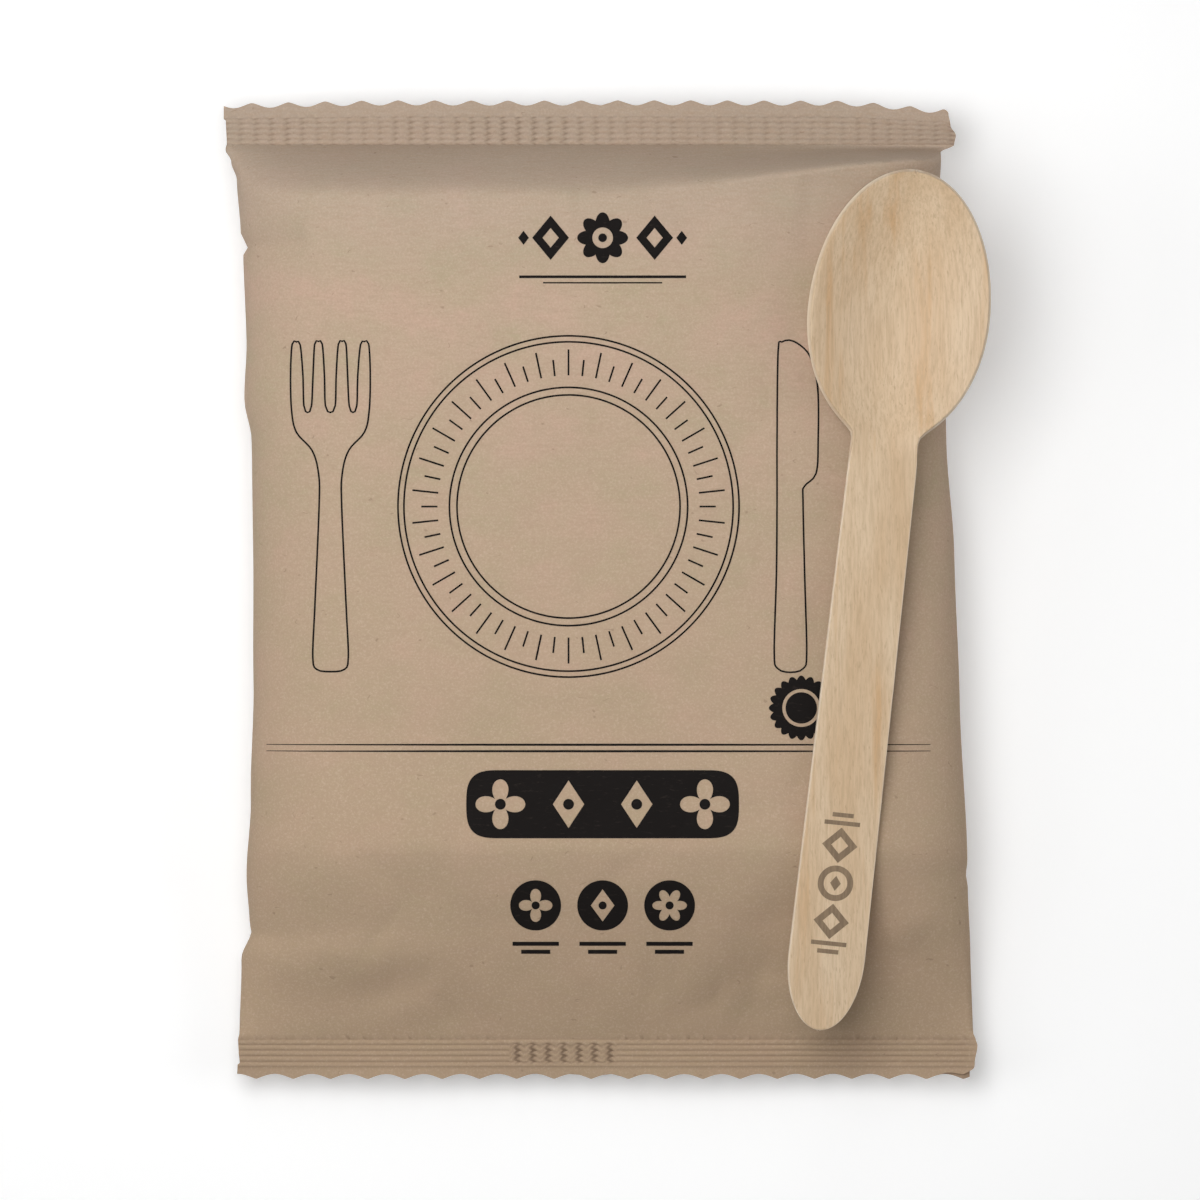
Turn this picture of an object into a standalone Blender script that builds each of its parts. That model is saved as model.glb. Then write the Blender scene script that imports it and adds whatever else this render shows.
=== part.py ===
"""A sealed kraft paper pack of wooden spoons, lying on its back, and one loose spoon that rests on it.

X runs across the pack, Y along it towards the top seal, and Z up. The origin is on the underside,
in the middle of the pack, where the back seam lies on the table. Lengths are in metres.
"""

import math

import bmesh
import bpy
from mathutils import Matrix, Vector
from mathutils.bvhtree import BVHTree

MM = 0.001

# The spoon, stamped out of veneer and pressed
SPOON_LENGTH = 160 * MM
VENEER = 1.6 * MM
BOWL_WIDTH = 34 * MM
BOWL_LENGTH = 50.5 * MM
BOWL_TIP_LENGTH = 26.8 * MM  # from the widest place of the bowl to its tip
BOWL_DEPTH = 6.2 * MM
PRESS_RUN_IN = 5 * MM  # the hollow begins this far down the handle
HANDLE_END_WIDTH = 14.4 * MM
HANDLE_NECK_WIDTH = 12.6 * MM
HANDLE_ROUND = 14 * MM  # length of the handle's round end
NECK_BLEND = 6  # power that rounds the corner between handle and bowl
BLUNT_END = 1.6 * MM  # the ends' curves are cut off at this width
PRESS_FADE = 1.5  # power that lets the hollow run out softly towards the handle
RIM_FLARE = 0.4  # how far the hollow's section flattens towards the rim, from 0 to 1
SPOON_COLUMNS = 12
HANDLE_ROWS = 14
BOWL_ROWS = 20
ROUND_ROWS = 7

# The pack. Its tube is as long as a spoon, and as thick as one stack of nested spoons.
STACKED_SPOONS = 17
STACK_SLACK = 0.8 * MM
END_ROOM = 6.4 * MM
TOP_SEAL = 8.2 * MM
BOTTOM_SEAL = 7.4 * MM
SEAL_WIDTH = 136.5 * MM
TOP_SHIFT = -2.1 * MM  # the seals stand a little askew on the tube
BOTTOM_SHIFT = 1.0 * MM
TOP_SEAL_HEIGHT = 10.5 * MM
BOTTOM_SEAL_HEIGHT = 7.5 * MM
SEAL_THICKNESS = 0.5 * MM
SEAL_WAVE = 0.7 * MM
SEAL_WAVES = 2.5
END_DROOP = 1.5 * MM  # the top seal bends back at its right end
DROOP_START = 0.65  # share of the half width where that bend begins

TOOTH_PITCH = 6.85 * MM
TOOTH_DEPTH = 1.0 * MM
RIDGE_PITCH = 1.05 * MM
RIDGE_HEIGHT = 0.35 * MM
RIDGES = 5

BODY_LENGTH = SPOON_LENGTH + END_ROOM
PACK_LENGTH = TOP_SEAL + BODY_LENGTH + BOTTOM_SEAL
THICKNESS = STACKED_SPOONS * VENEER + STACK_SLACK
THICKNESS_LOSS = 3.5 * MM  # the stack is this much lower where the slope begins
SLOPE_LENGTH = 35.7 * MM  # from there down to the bottom seal
SHOULDER_LENGTH = 6.5 * MM
SHOULDER_RIGHT = 0.25  # share of the shoulder's length that is left at the right side
SHOULDER_CURVE = (1.6, 0.8)  # powers of the shoulder's curve: how flat it ends, how steep it starts
SLOPE_CURVE = 1.15  # power of the slope's curve: above 1 it steepens towards the seal
TOP_LIFT_LENGTH = 16 * MM  # the underside leaves the table this far from each seal
BOTTOM_LIFT_LENGTH = 24 * MM
LIFT_CURVE = 2.0
SIDE_HEIGHT = 0.42  # height of the side folds, as a share of the thickness there
TOP_FLAT = 0.3  # share of the half width before the top and the underside turn to the side
UNDER_FLAT = 0.66
SIDE_POWER = 4.0
SHOULDER_ROWS = (0.15, 0.35, 0.6, 1.0, 1.5)
PLATEAU_ROWS = 16
SLOPE_ROWS = 12

# How far the sides stand in from the seals' ends, at shares of the tube's length from the top
LEFT_INSETS = (
    (0.0, 0.0), (0.02, 1.6 * MM), (0.04, 2.6 * MM), (0.10, 3.1 * MM), (0.118, 4.6 * MM),
    (0.135, 3.4 * MM), (0.22, 3.8 * MM), (0.285, 3.2 * MM), (0.33, 4.4 * MM), (0.45, 4.3 * MM),
    (0.6, 3.9 * MM), (0.73, 3.0 * MM), (0.82, 1.9 * MM), (0.877, 2.6 * MM), (0.91, 0.6 * MM),
    (1.0, 0.0),
)
RIGHT_INSETS = (
    (0.0, 0.0), (0.012, 3.1 * MM), (0.05, 3.4 * MM), (0.33, 3.0 * MM), (0.46, 1.9 * MM),
    (0.62, 1.4 * MM), (0.8, 0.5 * MM), (0.9, 0.2 * MM), (1.0, 0.0),
)

# Folds of the front: start and end as shares of the half width and half length, half width, height
FOLDS = (
    ((0.37, 0.83), (0.94, 0.90), 3.0 * MM, -1.5 * MM),
    ((0.12, 0.84), (0.30, 0.72), 4.0 * MM, -0.6 * MM),
    ((-1.0, 0.69), (-0.80, 0.71), 3.5 * MM, -2.4 * MM),
    ((-1.0, -0.77), (-0.34, -0.74), 4.0 * MM, 1.2 * MM),
    ((-0.98, -0.93), (-0.36, -0.79), 4.0 * MM, -1.6 * MM),
    ((-0.66, -0.92), (-0.33, -0.77), 3.5 * MM, 1.1 * MM),
    ((0.76, -0.70), (1.0, -0.66), 4.0 * MM, 1.0 * MM),
)

# The back seam, a flat fin folded against the underside
FIN_WIDTH = 12 * MM
FIN_THICKNESS = 0.4 * MM
FIN_STEP = 0.5 * MM
FIN_RELIEF = 9 * MM  # beside the fin the sheet comes down to the table over this width

# The loose spoon on the pack
SPOON_FROM_SIDE = 19.25 * MM  # its middle, in from the right end of the seals
SPOON_MIDDLE_Y = -1.9 * MM
SPOON_TURN = math.radians(-6.4)
SPOON_ROLL = math.radians(6.0)
REST_GAP = 0.3 * MM
PROBE_PITCH = 1.5 * MM
SETTLE_STEPS = 12

TOP_INNER = PACK_LENGTH / 2 - TOP_SEAL
BOTTOM_INNER = BOTTOM_SEAL - PACK_LENGTH / 2
COLUMNS = 2 * round(SEAL_WIDTH / TOOTH_PITCH)
FIN_COLUMNS = max(1, round(math.asin(FIN_WIDTH / SEAL_WIDTH) / math.pi * COLUMNS))
SMOOTH_ANGLE = math.radians(40)


def clamp(value):
    return min(max(value, 0.0), 1.0)


def ease(value):
    """0 to 1 along a smooth S."""
    share = clamp(value)
    return share * share * (3 - 2 * share)


def between(points, share):
    """The value at a share along a row of (share, value) points."""
    for (start, low), (end, high) in zip(points, points[1:]):
        if share <= end:
            return low + (high - low) * (share - start) / (end - start)
    return points[-1][1]


def clear_scene():
    for item in list(bpy.data.objects):
        bpy.data.objects.remove(item, do_unlink=True)


def finish_material(name, color, roughness):
    material = bpy.data.materials.new(name)
    material.use_nodes = True
    surface = material.node_tree.nodes["Principled BSDF"]
    surface.inputs["Base Color"].default_value = (*color, 1.0)
    surface.inputs["Roughness"].default_value = roughness
    surface.inputs["Metallic"].default_value = 0.0
    return material


def add_object(name, bm, material):
    """Makes a named object of a bmesh, with its faces turned outwards."""
    bmesh.ops.recalc_face_normals(bm, faces=bm.faces[:])
    mesh = bpy.data.meshes.new(name)
    bm.to_mesh(mesh)
    mesh.materials.append(material)
    mesh.shade_smooth()
    mesh.set_sharp_from_angle(angle=SMOOTH_ANGLE)
    item = bpy.data.objects.new(name, mesh)
    bpy.context.scene.collection.objects.link(item)
    return item


def grid_places(bm, columns, rows):
    """A flat grid's vertices, each with its column and its row."""
    bmesh.ops.create_grid(bm, x_segments=columns, y_segments=rows, size=1.0)
    places = []
    for vertex in bm.verts:
        column = round((vertex.co.x + 1) / 2 * columns)
        row = round((1 - vertex.co.y) / 2 * rows)
        places.append((vertex, column, row))
    return places


# The pack


def body_share(y):
    """0 in the seals and 1 in the tube, with a short run between them."""
    inside = min(TOP_INNER - y, y - BOTTOM_INNER)
    return ease(inside / SHOULDER_LENGTH)


def pack_rows():
    """Heights along Y of the rows of vertices, from the top edge down."""
    ridge_band = RIDGES * RIDGE_PITCH
    ridges = [RIDGE_PITCH / 2 * step for step in range(2 * RIDGES + 1)]
    top_margin = (TOP_SEAL - ridge_band + TOOTH_DEPTH) / 2
    bottom_margin = (BOTTOM_SEAL - ridge_band + TOOTH_DEPTH) / 2
    top = [PACK_LENGTH / 2, PACK_LENGTH / 2 - top_margin]
    top += [TOP_INNER + ridge_band - offset for offset in ridges]
    shoulder = [TOP_INNER - share * SHOULDER_LENGTH for share in SHOULDER_ROWS]
    slope_start = BOTTOM_INNER + SLOPE_LENGTH
    step = (shoulder[-1] - slope_start) / PLATEAU_ROWS
    plateau = [shoulder[-1] - step * row for row in range(1, PLATEAU_ROWS + 1)]
    slope = [slope_start - SLOPE_LENGTH * row / SLOPE_ROWS for row in range(1, SLOPE_ROWS)]
    bottom = [BOTTOM_INNER - offset for offset in ridges]
    bottom += [bottom_margin - PACK_LENGTH / 2, -PACK_LENGTH / 2]
    return top + shoulder + plateau + slope + bottom


def side_x(y, insets, direction):
    """The outline's X at the left (-1) or the right (1) side."""
    share = clamp((TOP_INNER - y) / BODY_LENGTH)
    shift = TOP_SHIFT + (BOTTOM_SHIFT - TOP_SHIFT) * share
    return shift + direction * (SEAL_WIDTH / 2 - between(insets, share))


def seal_height(y, across):
    """Height of a seal, with its slow wave and its crimped ridges."""
    top = y > 0
    level = TOP_SEAL_HEIGHT if top else BOTTOM_SEAL_HEIGHT
    depth = (y - TOP_INNER) if top else (BOTTOM_INNER - y)
    wave = SEAL_WAVE * math.sin(math.pi * SEAL_WAVES * across) * clamp(depth / TOP_SEAL)
    ridge = 0.0
    if 0 <= depth <= RIDGES * RIDGE_PITCH:
        ridge = RIDGE_HEIGHT * math.sin(math.pi * depth / RIDGE_PITCH) ** 2
    return level + wave + ridge


def top_height(y, across):
    """Height of the front along the middle of the tube."""
    from_top = TOP_INNER - y
    from_bottom = y - BOTTOM_INNER
    if min(from_top, from_bottom) <= 0:
        return seal_height(y, across) + SEAL_THICKNESS / 2
    run = BODY_LENGTH - SLOPE_LENGTH
    height = THICKNESS - THICKNESS_LOSS * clamp(from_top / run)
    shoulder = SHOULDER_LENGTH * (1 - (1 - SHOULDER_RIGHT) * ease(across))
    flatness, steepness = SHOULDER_CURVE
    rise = (1 - (1 - clamp(from_top / shoulder)) ** flatness) ** steepness
    start = seal_height(TOP_INNER, across) + SEAL_THICKNESS / 2
    height = start + (height - start) * rise
    fall = clamp(1 - from_bottom / SLOPE_LENGTH)
    end = seal_height(BOTTOM_INNER, across) + SEAL_THICKNESS / 2
    return height + (end - height) * fall ** SLOPE_CURVE


def under_height(y, across):
    """Height of the underside along the middle of the tube."""
    from_top = TOP_INNER - y
    from_bottom = y - BOTTOM_INNER
    if min(from_top, from_bottom) <= 0:
        return seal_height(y, across) - SEAL_THICKNESS / 2
    top_lift = seal_height(TOP_INNER, across) - SEAL_THICKNESS / 2
    top_lift *= (1 - clamp(from_top / TOP_LIFT_LENGTH)) ** LIFT_CURVE
    bottom_lift = seal_height(BOTTOM_INNER, across) - SEAL_THICKNESS / 2
    bottom_lift *= (1 - clamp(from_bottom / BOTTOM_LIFT_LENGTH)) ** LIFT_CURVE
    return top_lift + bottom_lift


def round_side(across, flat):
    """1 over the flat middle, falling to 0 at the side along a round curve."""
    turn = clamp((abs(across) - flat) / (1 - flat))
    return math.sqrt(1 - turn ** SIDE_POWER)


def fold_height(x, y):
    """What the folds of the front add at a place."""
    total = 0.0
    for start, end, half_width, height in FOLDS:
        first = Vector((start[0] * SEAL_WIDTH / 2, start[1] * PACK_LENGTH / 2))
        run = Vector((end[0] * SEAL_WIDTH / 2, end[1] * PACK_LENGTH / 2)) - first
        away = Vector((x, y)) - first
        along = away.dot(run) / run.length_squared
        if 0 < along < 1:
            distance = abs(away.cross(run)) / run.length
            total += height * math.sqrt(math.sin(math.pi * along)) * math.exp(-((distance / half_width) ** 2))
    return total


def pack_x(y, column):
    """Place of a column across the pack: even in the seals, and closer towards the sides in the tube."""
    even = 2 * column / COLUMNS - 1
    close = math.sin(even * math.pi / 2)
    across = even + (close - even) * body_share(y)
    left = side_x(y, LEFT_INSETS, -1)
    right = side_x(y, RIGHT_INSETS, 1)
    return across, (left + right) / 2 + across * (right - left) / 2


def edge_y(y, column):
    """Moves the outermost rows into teeth, and lets the top seal's right end droop."""
    if abs(y) == PACK_LENGTH / 2 and column % 2:
        y -= math.copysign(TOOTH_DEPTH, y)
    across = 2 * column / COLUMNS - 1
    droop = END_DROOP * ease((across - DROOP_START) / (1 - DROOP_START))
    return y - droop * clamp((y - TOP_INNER) / TOP_SEAL)


def side_height(y, across):
    """Height of the side folds between the front and the underside, and of the seals' middle."""
    share = 0.5 + (SIDE_HEIGHT - 0.5) * body_share(y)
    under = under_height(y, across)
    return under + (top_height(y, across) - under) * share


def front_point(y, column):
    across, x = pack_x(y, column)
    rim = side_height(y, across) + SEAL_THICKNESS / 2
    rise = max(top_height(y, across) + fold_height(x, y) * body_share(y) - rim, 0.0)
    return Vector((x, edge_y(y, column), rim + rise * round_side(across, TOP_FLAT)))


def back_point(y, column):
    across, x = pack_x(y, column)
    rim = side_height(y, across) - SEAL_THICKNESS / 2
    height = rim - (rim - under_height(y, across)) * round_side(across, UNDER_FLAT)
    fin_side = FIN_WIDTH / 2
    from_middle = column - COLUMNS // 2
    steps = abs(from_middle)
    target = abs(x)
    if steps <= FIN_COLUMNS:
        target = fin_side * steps / FIN_COLUMNS
    elif steps == FIN_COLUMNS + 1:
        target = fin_side + FIN_STEP
    x += (math.copysign(target, from_middle) - x) * body_share(y)
    if steps > FIN_COLUMNS:
        height += FIN_THICKNESS * body_share(y) * clamp(1 - (target - fin_side - FIN_STEP) / FIN_RELIEF)
    return Vector((x, edge_y(y, column), height))


def make_pack(material):
    """The front and the back are one folded sheet, and the spoons inside fill it: one solid."""
    rows = pack_rows()
    bm = bmesh.new()
    places = grid_places(bm, COLUMNS, len(rows) - 1)
    back = [vertex for vertex, _, _ in places]
    extruded = bmesh.ops.extrude_face_region(bm, geom=bm.faces[:] + bm.edges[:] + bm.verts[:])
    front = [item for item in extruded["geom"] if isinstance(item, bmesh.types.BMVert)]
    columns_and_rows = {tuple(vertex.co): (column, row) for vertex, column, row in places}
    for vertex in front:
        column, row = columns_and_rows[tuple(vertex.co)]
        vertex.co = front_point(rows[row], column)
    for vertex in back:
        column, row = columns_and_rows[tuple(vertex.co)]
        vertex.co = back_point(rows[row], column)
    add_object("pouch", bm, material)
    return bm


# The spoon


def spoon_half_width(along):
    """Half the spoon's width at a distance from the end of its handle."""
    end_round = clamp(along / HANDLE_ROUND)
    taper = clamp(along / (SPOON_LENGTH - BOWL_LENGTH))
    handle = (HANDLE_END_WIDTH + (HANDLE_NECK_WIDTH - HANDLE_END_WIDTH) * taper) / 2
    handle *= math.sqrt(1 - (1 - end_round) ** 2)
    widest = SPOON_LENGTH - BOWL_TIP_LENGTH
    half_length = BOWL_TIP_LENGTH if along > widest else BOWL_LENGTH - BOWL_TIP_LENGTH
    bowl = BOWL_WIDTH / 2 * math.sqrt(1 - clamp(abs(along - widest) / half_length) ** 2)
    if along > widest:
        handle = 0.0
    joined = (handle ** NECK_BLEND + bowl ** NECK_BLEND) ** (1 / NECK_BLEND)
    return max(joined, BLUNT_END / 2)


def press_depth(along, across):
    """How deep the bowl is pressed at a place, across from -1 to 1."""
    widest = SPOON_LENGTH - BOWL_TIP_LENGTH
    if along > widest:
        lengthwise = 1 - clamp((along - widest) / BOWL_TIP_LENGTH) ** 2
    else:
        run = BOWL_LENGTH - BOWL_TIP_LENGTH + PRESS_RUN_IN
        lengthwise = (1 - clamp((widest - along) / run) ** 2) ** PRESS_FADE
    bowed = 1 - across * across
    flared = (1 + math.cos(math.pi * across)) / 2
    return BOWL_DEPTH * lengthwise * (bowed + (flared - bowed) * RIM_FLARE)


def spoon_rows():
    """Distances from the handle's end, closer together where the outline is round."""
    neck = SPOON_LENGTH - BOWL_LENGTH
    turns = [math.pi / 2 * step / ROUND_ROWS for step in range(ROUND_ROWS)]
    end = [HANDLE_ROUND * (1 - math.cos(turn)) for turn in turns]
    step = (neck - HANDLE_ROUND) / HANDLE_ROWS
    handle = [HANDLE_ROUND + step * row for row in range(HANDLE_ROWS)]
    bowl = [neck + BOWL_LENGTH * (1 - math.cos(math.pi * row / BOWL_ROWS)) / 2 for row in range(BOWL_ROWS + 1)]
    return end + handle + bowl


def spoon_bmesh():
    """The spoon lying flat: its handle's end at the origin, and its tip along Y."""
    rows = spoon_rows()
    bm = bmesh.new()
    for vertex, column, row in grid_places(bm, SPOON_COLUMNS, len(rows) - 1):
        along = rows[row]
        across = 2 * column / SPOON_COLUMNS - 1
        depth = press_depth(along, across)
        vertex.co = Vector((across * spoon_half_width(along), along, -depth))
    bmesh.ops.recalc_face_normals(bm, faces=bm.faces[:])
    if sum(face.normal.z for face in bm.faces) < 0:
        bmesh.ops.reverse_faces(bm, faces=bm.faces[:])
    bmesh.ops.solidify(bm, geom=bm.faces[:] + bm.edges[:] + bm.verts[:], thickness=-VENEER)
    return bm


def spoon_place(pitch, height):
    """Where the spoon lies, for a slope along it and a height of its middle."""
    return (
        Matrix.Translation((SEAL_WIDTH / 2 - SPOON_FROM_SIDE, SPOON_MIDDLE_Y, height))
        @ Matrix.Rotation(SPOON_TURN, 4, "Z")
        @ Matrix.Rotation(pitch, 4, "X")
        @ Matrix.Rotation(SPOON_ROLL, 4, "Y")
        @ Matrix.Translation((0, -SPOON_LENGTH / 2, 0))
    )


def gaps_under(spoon, place, pack_tree):
    """The smallest height from the pack to the spoon, under the handle's half and under the bowl's."""
    points = [place @ vertex.co for vertex in spoon.verts]
    faces = [[vertex.index for vertex in face.verts] for face in spoon.faces]
    spoon_tree = BVHTree.FromPolygons(points, faces)
    up, down = Vector((0, 0, 1)), Vector((0, 0, -1))
    floor, ceiling = -PACK_LENGTH, 2 * PACK_LENGTH
    across_steps = math.ceil(BOWL_WIDTH / 2 / PROBE_PITCH)
    along_steps = math.ceil(SPOON_LENGTH / PROBE_PITCH)
    smallest = {"handle": math.inf, "bowl": math.inf}
    for row in range(along_steps + 1):
        for column in range(-across_steps, across_steps + 1):
            probe = place @ Vector((column * PROBE_PITCH, row * PROBE_PITCH, 0))
            low = pack_tree.ray_cast(Vector((probe.x, probe.y, ceiling)), down)[0]
            high = spoon_tree.ray_cast(Vector((probe.x, probe.y, floor)), up)[0]
            if low and high:
                half = "bowl" if 2 * row > along_steps else "handle"
                smallest[half] = min(smallest[half], high.z - low.z)
    return smallest["handle"], smallest["bowl"]


def settle(spoon, pack_tree):
    """Tips the spoon until handle and bowl both rest, then lowers it onto the pack."""
    spoon.verts.index_update()
    pitch = 0.0
    for _ in range(SETTLE_STEPS):
        handle, bowl = gaps_under(spoon, spoon_place(pitch, 0.0), pack_tree)
        pitch -= (bowl - handle) / SPOON_LENGTH
    handle, bowl = gaps_under(spoon, spoon_place(pitch, 0.0), pack_tree)
    return spoon_place(pitch, REST_GAP - min(handle, bowl))


def main():
    clear_scene()
    kraft = finish_material("kraft_paper", (0.52, 0.38, 0.26), 0.85)
    birch = finish_material("birch_veneer", (0.74, 0.56, 0.36), 0.6)
    pack_tree = BVHTree.FromBMesh(make_pack(kraft))
    spoon = spoon_bmesh()
    spoon_object = add_object("spoon", spoon, birch)
    spoon_object.matrix_world = settle(spoon, pack_tree)


main()
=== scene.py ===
import math
import random

import bmesh
import bpy
from mathutils import Matrix, Vector, noise
from mathutils.bvhtree import BVHTree


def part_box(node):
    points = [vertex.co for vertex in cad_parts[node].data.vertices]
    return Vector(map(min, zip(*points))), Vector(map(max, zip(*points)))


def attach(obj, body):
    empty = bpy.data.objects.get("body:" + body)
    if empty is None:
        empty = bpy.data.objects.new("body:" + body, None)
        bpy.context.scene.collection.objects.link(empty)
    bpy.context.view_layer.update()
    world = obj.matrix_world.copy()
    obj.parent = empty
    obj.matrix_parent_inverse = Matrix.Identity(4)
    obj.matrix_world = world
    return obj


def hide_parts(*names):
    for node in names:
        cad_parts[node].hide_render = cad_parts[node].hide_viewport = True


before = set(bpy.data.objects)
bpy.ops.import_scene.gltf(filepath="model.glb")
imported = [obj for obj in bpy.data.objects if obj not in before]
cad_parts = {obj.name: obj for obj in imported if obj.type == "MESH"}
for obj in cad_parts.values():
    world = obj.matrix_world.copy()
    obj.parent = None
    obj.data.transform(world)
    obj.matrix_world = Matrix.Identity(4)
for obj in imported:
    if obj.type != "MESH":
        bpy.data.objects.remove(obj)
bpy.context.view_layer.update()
mm = 0.001
packLow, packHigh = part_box("pouch")
print("frame loaded: pack", [round(side / mm, 1) for side in packHigh - packLow], "mm")


def clamp(value):
    return min(max(value, 0.0), 1.0)


def ease(value):
    share = clamp(value)
    return share * share * (3 - 2 * share)


def pastShare(value, start):
    # 0 at the start and 1 at 1, not clamped
    return (value - start) / (1 - start)


def between(points, share):
    # smooth steps from point to point, so an outline has no hard corners
    for (start, low), (end, high) in zip(points, points[1:]):
        if share <= end:
            return low + (high - low) * ease((share - start) / (end - start))
    return points[-1][1]


# The paper pack

pack = {
    "length": packHigh.y - packLow.y,
    "topSeal": 8.2 * mm,
    "bottomSeal": 7.4 * mm,
    "sealWidth": 136.5 * mm,
    "topShift": -2.1 * mm,  # the seals stand a little askew on the tube
    "bottomShift": 1.0 * mm,
    "topSealHeight": 10.5 * mm,
    "bottomSealHeight": 7.5 * mm,
    "sealThickness": 0.42 * mm,
    "sealWave": 0.7 * mm,
    "sealWaves": 2.5,
    "endDroop": 1.5 * mm,
    "droopStart": 0.65,
    "startDroop": 0.5 * mm,
    "cornerStart": 0.98,
    "cornerCut": 0.8 * mm,
    "flapStart": 0.91,
    "flapHeight": 1.15 * mm,
    "toothDepth": 0.93 * mm,
    "ridgePitch": 1.05 * mm,
    "ridgeHeight": 0.2 * mm,
    "groove": 0.17 * mm,  # half width of the groove between two ridges
    "ridges": 5,
    "thickness": 28.0 * mm,
    "thicknessLoss": 3.5 * mm,
    "slopeLength": 35.7 * mm,
    "slopeCurve": 1.15,
    "shoulderLength": 10.4 * mm,
    "shoulderRight": 0.34,
    "shoulderCurve": 1.9,
    "lateRise": 1.3,  # the curve of a shoulder that rises late, as it does at the right
    "lateShare": 0.3,
    "topLift": 16 * mm,
    "bottomLift": 24 * mm,
    "liftCurve": 2.0,
    "sideHeight": 0.42,
    "topFlat": 0.36,
    "underFlat": 0.66,
    "sidePower": 4.0,
    "columns": 160,
    "sealCuts": 2,
    "ridgeSteps": (0, 0.12, 0.24, 0.5, 0.76, 0.88),
    "marginSteps": (0, 0.2, 0.45, 0.72),
    "shoulderRows": 28,
    "shoulderReach": 1.2,  # these rows go on past the shoulder and draw apart
    "rowSpread": 1.25,
    "plateauRows": 88,
    "slopeRows": 34,
    "columnSpread": 0.8,  # how much the columns close up towards the tube's sides
    "pressedSeal": 0.17,  # how dark the seals, their grooves and their dents are painted: painted shade on the seals and in the grooves, darker paper at the dents
    "pressedTop": 0.14,
    "pressedBottom": 0.3,
    "pressedDent": 0.6,
}
pack["topInner"] = pack["length"] / 2 - pack["topSeal"]
pack["bottomInner"] = pack["bottomSeal"] - pack["length"] / 2
pack["bodyLength"] = pack["topInner"] - pack["bottomInner"]
pack["band"] = pack["ridges"] * pack["ridgePitch"]
halfWidth = pack["sealWidth"] / 2
halfLength = pack["length"] / 2

# how far the sides stand in from the seals' ends, in mm at shares of the tube's length from the top
leftInsets = (
    (0, 0), (0.02, 1.6), (0.04, 2.6), (0.1, 3.1), (0.114, 4.3), (0.118, 4.5), (0.124, 3.5), (0.22, 3.8),
    (0.285, 3.2), (0.33, 4.4), (0.45, 4.3), (0.6, 3.9), (0.73, 3), (0.82, 1.9), (0.872, 2.3), (0.877, 2.6),
    (0.91, 0.6), (1, 0),
)
rightInsets = (
    (0, 0), (0.009, 3.1), (0.05, 3.4), (0.33, 3), (0.46, 1.9), (0.62, 1.4), (0.8, 0.5), (0.815, 0.8),
    (0.83, 0.5), (0.9, 0.2), (1, 0),
)
# what the cut leaves or takes at the ends of the seals, in mm from the teeth inwards
sealEnds = {
    "topLeft": ((0, 0.2), (0.38, 0.2), (0.42, 0.6), (1, 0.8)),
    "topRight": ((0, -1.6), (0.4, -1.2), (0.72, -0.2), (1, -0.5)),
    "bottomLeft": ((0, -0.5), (0.36, -0.4), (0.4, 0.0), (0.7, -0.2), (1, -0.3)),
    "bottomRight": ((0, -0.3), (0.4, 0.3), (0.85, 0.8), (1, 0.5)),
}
# folds of the front: start and end as shares of the half width and half length, half width, height
folds = [
    ((0.34, 0.800), (0.97, 0.880), 4.0 * mm, -0.9 * mm),
    ((0.10, 0.835), (0.62, 0.868), 2.2 * mm, 0.5 * mm),
    ((0.20, 0.74), (0.92, 0.80), 6.0 * mm, -0.5 * mm),
    ((0.12, 0.84), (0.30, 0.72), 4.0 * mm, -0.6 * mm),
    ((-1.0, 0.69), (-0.80, 0.71), 3.5 * mm, -2.0 * mm),
    ((-1.0, -0.77), (-0.34, -0.74), 4.0 * mm, 0.9 * mm),
    ((-0.98, -0.93), (-0.36, -0.79), 4.5 * mm, -0.7 * mm),
    ((-0.66, -0.92), (-0.33, -0.77), 4.0 * mm, 0.8 * mm),
    ((0.76, -0.70), (1.0, -0.66), 4.0 * mm, 1.0 * mm),
    ((0.42, 0.77), (0.58, 0.775), 1.6 * mm, -0.25 * mm),
    ((-0.56, -0.90), (-0.28, -0.89), 2.5 * mm, -0.7 * mm),
    ((0.10, -0.93), (0.34, -0.84), 3.0 * mm, -0.5 * mm),
    ((0.50, -0.94), (0.62, -0.80), 3.0 * mm, 0.5 * mm),
]
puckers = {
    "seed": 11,
    "topCount": 15,
    "bottomCount": 19,
    "height": 0.40 * mm,
    "width": 1.7 * mm,
    "length": 15 * mm,
    "lean": 0.08,
    "heights": (0.4, 1.3),  # smallest and largest, as shares of the values above
    "widths": (0.7, 1.5),
    "lengths": (0.5, 1.4),
}


def addPuckers():
    # short pleats that run from the seals into the tube
    dice = random.Random(puckers["seed"])
    ends = ((puckers["topCount"], pack["topInner"], -1), (puckers["bottomCount"], pack["bottomInner"], 1))
    for count, edge, inwards in ends:
        for step in range(count):
            across = -0.9 + 1.8 * (step + dice.uniform(0.1, 0.9)) / count
            length = puckers["length"] * dice.uniform(*puckers["lengths"])
            lean = dice.uniform(-puckers["lean"], puckers["lean"])
            start = (across, (edge - inwards * length * 0.2) / halfLength)
            end = (across + lean, (edge + inwards * length) / halfLength)
            height = puckers["height"] * dice.uniform(*puckers["heights"]) * dice.choice((-1, 1))
            folds.append((start, end, puckers["width"] * dice.uniform(*puckers["widths"]), height))


addPuckers()
crumple = {
    "sizes": (30 * mm, 11 * mm, 4.5 * mm),
    "heights": (0.55 * mm, 0.20 * mm, 0.055 * mm),
    "facetSize": 21 * mm,
    "facetHeight": 0.28 * mm,
    "facetEdge": 0.35,
    "front": 1.7,  # where the noise is read for each side of the pack
    "back": 8.3,
}
# the teeth of each cut edge: first tip, pitch, and how round the waves are
teeth = {"top": (-64.9 * mm, 6.80 * mm, 1.5), "bottom": (-64.2 * mm, 6.93 * mm, 1.15)}
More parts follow.
